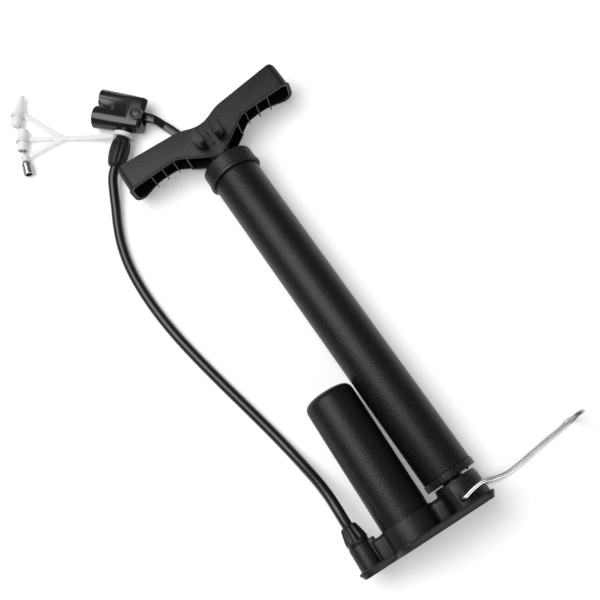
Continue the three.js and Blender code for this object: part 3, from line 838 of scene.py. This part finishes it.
def makeHandle():
    half, wall = handle["half"], handle["wall"]
    front = -handle["depth"] / 2
    inner = front + wall
    lower = lowerLine()
    corner = bezier((half - 1.6, 312.5), (half - 0.4, 312.5), (half, 313), (half, 314.2), 5)
    shoulder = bezier((half, 327.2), (half, 331), (half - 1.6, 332.7), (63.4, 332.6), 8)
    right = lower + corner + shoulder
    top = topLine(63.4, 0)[1:-1]
    outline = right + top + [(-x, z) for x, z in reversed(right[1:])]
    body = prism("handleShell", outline, front, -front, "xz")
    combine(body, [prism("plan", roundedBox(half, -front, handle["corner"]), 280, 340)], "INTERSECT")
    bevel(body, handle["edge"], 4, 50)
    hollow = ([(-half + wall, 288), (half - wall, 288), (half - wall, 330)]
              + topLine(63, 2.5) + [(-half + wall, 330)])
    channel = prism("channel", hollow, inner, -inner, "xz")
    combine(channel, [prism("plan", roundedBox(half - wall, -inner, handle["innerCorner"]), 280, 340)],
            "INTERSECT")
    cut(body, channel,
        *[bevel(prism("backEdge", [(side * x, z) for x, z in handle["backCut"]], -inner - 0.01, 20, "xz"),
                0.4, 2)
          for side in (1, -1)])
    span = handle["ribs"][1] - handle["ribs"][0]
    depth = 2 * -inner + 1
    for side in (1, -1):
        low, high = 312.2, 329.2
        start = handle["ribs"][0] if side > 0 else -handle["ribs"][-1]
        row = grown(meshFrom("ribs", [], []), ribTree, {
            "Count": 3, "Start": start, "Step": span, "Thickness": handle["ribThickness"], "Depth": depth,
            "Height": high - low, "Middle": (low + high) / 2})
        near = block("nearRib", side * 22 - 0.5, side * 22 + 0.5, -depth / 2, depth / 2, 308.6, 327.6)
        join(body, row, near)
    for side in (1, -1):
        r, flat = handle["prongRadius"], handle["prongFlat"]
        opening = math.degrees(math.acos((flat - r) / r))
        lobe = arc(r, handle["prongHeight"], r, -opening, opening, 30)
        lobe = [(side * x, z) for x, z in lobe]
        tip = front - handle["prongReach"]
        prong = bevel(prism("prong", lobe, tip, front + 1, "xz"), 2.4, 6, 50)
        lip = bevel(prism("lip", [(side * 4.4, 305), (side * 6, 305), (side * 6, 317), (side * 4.4, 317)],
                          tip - 0.2, front + 1, "xz"), 0.45, 3, 50)
        join(body, prong, lip)
    boss = lathe("rodBoss", [(0, 296), (7.2, 296), (7.2, 322), (0, 322)], 64)
    fin = bevel(block("fin", -0.6, 0.6, front - 2, front + 1, 305, 316), 0.2, 2)
    join(body, boss, fin)
    for name, path in zip(("rimRight", "rimLeft"), rimPath(lower, front, half)):
        join(body, tube(name, smoothPath(path, 3), 0.8, 12))
    cut(body, disc("rodBore", 4.3, 290, 313.9, 48), disc("screwBore", 2.3, 313, 322, 32),
        disc("screwSeat", 4.3, 320.6, 330, 48))
    return settle(body, leaning, "handle_shell", angle=38)


def makeRod():
    profile = filleted([
        (0, 26.2), (3, 26.2), (3, 45.3), (4, 45.3), (4, 313.6), (2.3, 313.6), (2.3, 300), (0, 300),
    ], {1: 0.4, 3: 0.3, 4: 0.4}, closed=False)
    settle(lathe("pistonRod", profile, 64), leaning, "piston_rod")
    settle(ring("rodBumper", 4.3, 9, 292.9, 294.4, 0.5), leaning, "rod_bumper")
    settle(lathe("rodBush", filleted([
        (4.3, 284.5), (14.9, 284.5), (14.9, 290), (5.1, 290), (5.1, 292.4), (4.3, 292.4),
    ], 0.3), 64), leaning, "rod_bush")
    screw = lathe("handleScrew", filleted([
        (0, 302), (1.9, 302), (1.9, 321), (4, 321), (4, 322.6), (2.4, 323.6), (0, 323.6),
    ], {4: 0.5, 5: 0.8}, closed=False), 48)
    slots = [block("slot", -2.4, 2.4, -0.45, 0.45, 322.2, 324),
             block("slot", -0.45, 0.45, -2.4, 2.4, 322.2, 324)]
    cut(screw, join(slots[0], slots[1]))
    settle(screw, leaning, "handle_screw")


makeHandle()
makeRod()
print("handle and rod made")


footWire = {
    "pivot": (-2.6, 9.5), "legY": 20.8, "radius": 1.6, "footEnd": 14.2, "elbow": 2.4,
    "leg": [(4.2, 10.6), (11.4, 11.5), (14.5, 11.2), (20, 9.5), (26.9, 8), (32.4, 7.7), (42, 8.4),
            (55.6, 10.1),
            (69.4, 11.8), (80, 13)],
    "barX": 89.8, "barZ": 14.1, "corner": 7.0,
}


def makeFootWire():
    w = footWire
    px, pz = w["pivot"]
    half = [(px, -w["footEnd"], pz)]
    for k in range(7):
        a = math.radians(90 * k / 6)
        half.append((px + w["elbow"] * (1 - math.cos(a)), -w["legY"] + w["elbow"] * (1 - math.sin(a)), pz))
    half += [(x, -w["legY"], z) for x, z in w["leg"]]
    for k in range(1, 9):
        a = math.radians(90 * k / 8)
        half.append((w["barX"] - w["corner"] * (1 - math.sin(a)),
                     -w["legY"] + w["corner"] * (1 - math.cos(a)),
                     w["barZ"]))
    line = smoothPath(half + [(x, -y, z) for x, y, z in reversed(half)], 5)
    mesh = bpy.data.meshes.new("footWire")
    mesh.from_pydata([tuple(p) for p in line], [(i, i + 1) for i in range(len(line) - 1)], [])
    piece = grown(link("footWire", mesh), wireTree, {"Radius": w["radius"], "Sides": 32})
    return settle(outward(piece), standing, "foot_wire")


def flutedNut(name, profile, flutes, matrix, *nodes):
    # turned nut with grip flutes; its outline is cut fine enough to carry them
    fine = []
    for a, b in zip(profile, profile[1:]):
        steps = max(1, int(abs(b[1] - a[1]) / 0.8))
        fine += [(a[0] + (b[0] - a[0]) * k / steps, a[1] + (b[1] - a[1]) * k / steps) for k in range(steps)]
    fine.append(profile[-1])
    return settle(grown(lathe(name, fine, flutes["Count"] * 24), fluteTree, flutes), matrix, *nodes, angle=45)


makeFootWire()
baseNut = filleted([
    (2.7, 20.86), (7.3, 20.86), (7.3, 22.4), (7.8, 23.0), (7.4, 26.2), (6.5, 30), (5.6, 33.4), (4.6, 34.4),
    (2.7, 34.4),
], {1: 0.2, 3: 0.3, 6: 0.5, 7: 0.4})
flutedNut("baseHoseNut", baseNut, {
    "Count": 9, "Depth": 0.8, "Low": 24.0, "High": 33.3, "Inside radius": 4.0, "Sharpness": 1.5,
    "Smooth from": 9.0, "Smooth to": 9.0}, alongStanding(pump["bossX"], 0, 0), "base_hose_nut")
print("foot wire and base nut made")


valveHead = {
    "pin": (-15, 1.5), "presta": -8.3, "schrader": 6.8, "neck": -7.2,
    "leverStep": {"start": -26.8, "length": 9.0, "drop": 4.9, "cuts": 12},   # lies lower than the handle
}


def laidAlong(piece, axis, x=0, y=0):
    return moved(lathedAlong(piece, axis), Matrix.Translation((x, y, 0)))


def makeHeadBody():
    h = valveHead
    px, py = h["pin"]
    presta = lathe("headBody", filleted([(0, -16), (5.8, -16), (7.2, 17.6), (0, 17.6)], {2: 0.7},
                                        closed=False), 128)
    body = laidAlong(presta, "x", 0, h["presta"])
    schrader = lathe("barrel", filleted([(0, -14), (7.4, -14), (8.6, 18.6), (0, 18.6)], {2: 0.7},
                                        closed=False), 128)
    deck = bevel(prism("deck", [(-14, -7.4), (15.5, -6.4), (15.5, 6.4), (-14, 7.4)], h["presta"],
                       h["schrader"],
                       "xz"), 0.5)
    outline = [(-20, -5.2), (-18, -7.6), (-8, -7.6), (6, -4.8), (6, 4.8), (-8, 7.6), (-18, 7.6), (-20, 5.2)]
    fork = bevel(prism("fork", outline, -12, 12, "xz"), 2.0, 6, 50)
    boss = lathe("pinBoss", filleted([
        (0, 7), (5.4, 7), (5.2, 8.8), (4.1, 8.8), (3.7, 8.0), (2.9, 8.0), (2.5, 8.6), (0, 8.6),
    ], {"rest": 0.3}, closed=False), 64)
    join(body, laidAlong(schrader, "x", 0, h["schrader"]), deck, fork,
         moved(boss, Matrix.Translation((px, py, 0))))
    field = bevel(block("field", 5.2, 24, -6.6, 1.5, 5.3, 12), 0.3, 2)
    cut(body, field, laidAlong(disc("prestaBore", 4.9, 1.2, 22), "x", 0, h["presta"]),
        laidAlong(disc("schraderBore", 6.6, 1.2, 22), "x", 0, h["schrader"]),
        block("chamber", -8.6, 4, -9.2, 8.8, -3.4, 3.4), block("leverSlot", -24, -8.5, -17, 7, -3.5, 3.5),
        block("stepRoom", -24, -8.5, -17, -4.2, -9, 0),
        moved(disc("pinHole", 1.9, -12, 7.7, 48), Matrix.Translation((px, py, 0))),
        laidAlong(disc("neckHole", 4.8, 6.2, 20), "y", h["neck"]))
    return settle(body, headFrame, "head_body", angle=38)


def crossCut(piece, low, high, count):
    work = bmesh.new()
    work.from_mesh(piece.data)
    for index in range(count + 1):
        place = (low + (high - low) * index / count, 0, 0)
        everything = work.verts[:] + work.edges[:] + work.faces[:]
        bmesh.ops.bisect_plane(work, geom=everything, plane_co=place, plane_no=(1, 0, 0))
    work.to_mesh(piece.data)
    work.free()


def makeHeadParts():
    h = valveHead
    px, py = h["pin"]
    settle(laidAlong(ring("prestaCollar", 3.1, 4.6, 15.3, 17.9, 0.4), "x", 0, h["presta"]),
           headFrame, "presta_collar")
    settle(laidAlong(ring("schraderCollar", 4.2, 6.3, 15.3, 18.9, 0.5), "x", 0, h["schrader"]),
           headFrame, "schrader_collar")
    settle(laidAlong(ring("prestaSeal", 2.8, 4.6, 8.6, 15, 0.4), "x", 0, h["presta"]), headFrame,
           "presta_seal")
    settle(laidAlong(ring("schraderSeal", 3.9, 6.3, 8.6, 15, 0.4), "x", 0, h["schrader"]),
           headFrame, "schrader_seal")
    pin = lathe("leverPin", filleted([(0, -7.7), (1.6, -7.7), (1.6, 7.6), (0, 7.6)], {1: 0.3, 2: 0.4},
                                     closed=False), 32)
    settle(moved(pin, Matrix.Translation((px, py, 0))), headFrame, "lever_pin")
    thick = 2.7
    arm = (bezier((-13, 5.2), (-22, 3), (-33, 4.6), (-45, 11.4), 20) + [(-49.6, 13.6)]
           + bezier((-49.6, 13.6), (-52.4, 13.4), (-53.2, 11), (-52.2, 8.6), 6)[1:]
           + bezier((-47.5, 5.6), (-36, -0.2), (-26, -2.6), (-15, -2.6), 20))
    lever = bevel(prism("headLever", arm, -thick, thick), 0.7, 3, 50)
    join(lever, moved(disc("cam", 4.6, -thick, thick), Matrix.Translation((px, py, 0))))
    cut(lever, moved(disc("camHole", 1.9, -12, 12), Matrix.Translation((px, py, 0))))
    step = h["leverStep"]
    crossCut(lever, step["start"] - step["length"], step["start"], step["cuts"])
    for corner in lever.data.vertices:
        share = min(max((step["start"] - corner.co.x) / step["length"], 0), 1)
        corner.co.z -= step["drop"] * share * share * (3 - 2 * share)
    settle(lever, headFrame, "head_lever", angle=38)
    neck = filleted([(1.2, 6.5), (4.5, 6.5), (4.5, 19.7), (2.5, 19.7), (2.5, 42.9), (1.2, 42.9)], 0.3)
    settle(laidAlong(lathe("headNeck", neck, 48), "y", h["neck"]), headFrame, "head_neck")
    nut = filleted([
        (2.9, 20), (4.9, 20), (5.2, 21.8), (6.4, 22.4), (7.1, 25.4), (7.55, 29.5), (7.5, 33), (7.1, 36.6),
        (6.2, 40.6), (5, 43), (2.9, 43),
    ], {2: 0.3, 3: 0.4, 8: 0.6, 9: 0.5})
    flutedNut("headHoseNut", nut, {
        "Count": 12, "Depth": 0.7, "Low": 23.2, "High": 40.4, "Inside radius": 4.0, "Sharpness": 1.5,
        "Smooth from": 9.0, "Smooth to": 9.0},
        headFrame @ Matrix.Translation((h["neck"], 0, 0)) @ Matrix.Rotation(math.radians(-90), 4, "X"),
        "head_hose_nut")


makeHeadBody()
makeHeadParts()
print("valve head made")


strap = {
    "width": 3.7, "thickness": 1.6,
    "start": (-365.9, -68.5, 8.2), "knee": (-375.4, -82.4, 5.0), "hub": (-389.7, -103, 4.0),
}
cone = {"start": (-418.9, -129.1, 4.9), "end": (-438.6, -112.4, 4.9)}
straight = {"start": (-398.8, -133.9, 4.1), "end": (-414, -125.3, 4.1)}
needle = {"start": (-379.2, -138.8, 4.1), "end": (-396.6, -133.6, 4.1)}


def along(line, distance, shift=(0, 0, 0)):
    start, end = Vector(line["start"]), Vector(line["end"])
    return start + (end - start).normalized() * distance + Vector(shift)


def ribbon(name, path, width, thickness):
    # flat band with rounded edges, lying on its wide side; width has one value for each point
    section = filleted([(-0.5, -0.5), (0.5, -0.5), (0.5, 0.5), (-0.5, 0.5)], 0.22, 3)
    count = len(section)
    points = []
    for i, centre in enumerate(path):
        ahead = (path[min(i + 1, len(path) - 1)] - path[max(i - 1, 0)]).normalized()
        side = ahead.cross(Vector((0, 0, 1))).normalized()
        up = side.cross(ahead)
        wide = width[min(i, len(width) - 1)]
        points += [centre + side * a * wide + up * b * thickness for a, b in section]
    faces = [tuple(range(count)), tuple(range(len(points) - count, len(points)))]
    for i in range(len(path) - 1):
        for k in range(count):
            j = (k + 1) % count
            faces.append((i * count + k, i * count + j, (i + 1) * count + j, (i + 1) * count + k))
    return outward(meshFrom(name, points, faces))


def makeStrap():
    s = strap
    hub = Vector(s["hub"])
    toLying = lying.inverted() @ headFrame
    neckRing = laidAlong(ring("neckRing", 4.9, 8, 16.4, 19.7, 0.6), "y", valveHead["neck"])
    moved(neckRing, toLying)
    stem = smoothPath([s["start"], (-370.4, -75.4, 7.0), s["knee"], (-382, -91.8, 4.4), hub,
                       (-391, -105.4, 4.0)], 6)
    body = ribbon("accessoryStrap", stem, [s["width"]], s["thickness"])
    ends = [(along(cone, 9, (1.6, 4, 0)), 4.0), (along(straight, 8.2, (1.2, 4, 0)), 3.2),
            (along(needle, 13.2, (-0.4, 2.6, 0)), 3.4)]
    arms = []
    for end, wide in ends:
        path = [hub.lerp(end, k / 10) for k in range(11)]
        widths = [wide + 1.2 * max(0, 1 - k / 3) ** 2 for k in range(11)]
        arms.append(ribbon("arm", path, widths, s["thickness"]))
    join(body, *arms)
    cut(body, aimed(disc("r", 4.9, -3, 28), cone["start"], cone["end"]),
        aimed(disc("r", 4.6, -3, 20), straight["start"], straight["end"]),
        aimed(disc("r", 1.6, 10, 20), needle["start"], needle["end"]),
        aimed(disc("r", 4.3, -3, 10.5), needle["start"], needle["end"]))
    join(body, neckRing,
         aimed(ring("r", 4.5, 5.6, 7.6, 10.4, 0.5), cone["start"], cone["end"]),
         aimed(ring("r", 4.4, 5.3, 6.8, 9.6, 0.4), straight["start"], straight["end"]),
         aimed(ring("r", 1.5, 3.4, 10.6, 15.8, 0.6), needle["start"], needle["end"]))
    cut(body, block("below", -460, -340, -160, -40, -8, 0.3))
    return settle(body, lying, "accessory_strap", angle=40)


def makeFittings():
    coneProfile = filleted([
        (1.1, 0), (3.2, 0), (4.2, 0.8), (4.75, 3.2), (4.7, 5.6), (4.2, 7.2), (4.1, 10.8), (3.7, 13),
        (1.9, 25),
        (1.8, 25.8), (1.1, 25.8),
    ], {"rest": 0.5, 0: 0.1, 10: 0.1}, 3)
    settle(aimed(lathe("coneNozzle", coneProfile, 64), cone["start"], cone["end"]), lying, "cone_nozzle")
    tubeProfile = filleted([
        (3.1, 0), (4.05, 0), (4.05, 17.2), (3.1, 17.2),
    ], 0.25)
    settle(aimed(lathe("straightNozzle", tubeProfile, 64), straight["start"], straight["end"]),
           lying, "straight_nozzle")
    needleProfile = filleted([
        (0, 8), (2.6, 8), (2.6, 0), (3.85, 0), (3.85, 1.6), (3.4, 1.9), (3.4, 2.5), (3.85, 2.8), (3.85, 4.4),
        (3.4, 4.7), (3.4, 5.3), (3.85, 5.6), (3.85, 8.6), (2.6, 10.2), (1.0, 10.2), (1.0, 31.4), (0.6, 32),
        (0, 32),
    ], {2: 0.2, 3: 0.2, 12: 0.3}, closed=False)
    piece = lathe("ballNeedle", needleProfile, 64)
    settle(aimed(piece, needle["start"], needle["end"]), lying, "ball_needle")


makeStrap()
makeFittings()
print("strap and fittings made")


for node, piece in frame["nodes"].items():
    if not piece.data.materials:
        piece.data.materials.append(None)
    for slot in piece.material_slots:
        slot.material = materials[slotOf[node]]

hoseLength = sum((b - a).length for a, b in zip(hosePath, hosePath[1:]))
print("hose length", round(hoseLength, 4))


studio = {"key": 18.0, "fill": 5.0, "sky": 0.22}


def makeFloor():
    floor = meshFrom("floor", [(-6, -6, 0), (6, -6, 0), (6, 6, 0), (-6, 6, 0)], [(0, 1, 2, 3)])
    floor.data.materials.append(material("paleFloor", {
        "Roughness": 0.9, "Specular IOR Level": 0.1, "Emission Color": (1, 1, 1, 1),
        "Emission Strength": 0.22},
                                         milky((0.9, 0.9, 0.9, 1), (0.88, 0.88, 0.88, 1), 0.85, 0.95)))


def makeLight(name, power, size, place, target):
    lamp = bpy.data.lights.new(name, "AREA")
    lamp.energy = power
    lamp.shape = "SQUARE"
    lamp.size = size
    light = bpy.data.objects.new(name, lamp)
    bpy.context.scene.collection.objects.link(light)
    aim = (Vector(target) - Vector(place)).to_track_quat("-Z", "Y").to_matrix().to_4x4()
    light.matrix_world = Matrix.Translation(place) @ aim


makeFloor()
makeLight("keyLight", studio["key"], 1.1, (-0.42, -0.4, 1.25), (-0.03, -0.02, 0))
makeLight("fillLight", studio["fill"], 0.7, (1.2, 0.1, 0.75), (-0.05, -0.03, 0))
sky = bpy.data.worlds.new("studio")
sky.use_nodes = True
sky.node_tree.nodes["Background"].inputs["Color"].default_value = (1, 1, 1, 1)
sky.node_tree.nodes["Background"].inputs["Strength"].default_value = studio["sky"]
bpy.context.scene.world = sky
bpy.context.scene.view_settings.view_transform = "Standard"
print("stage made")
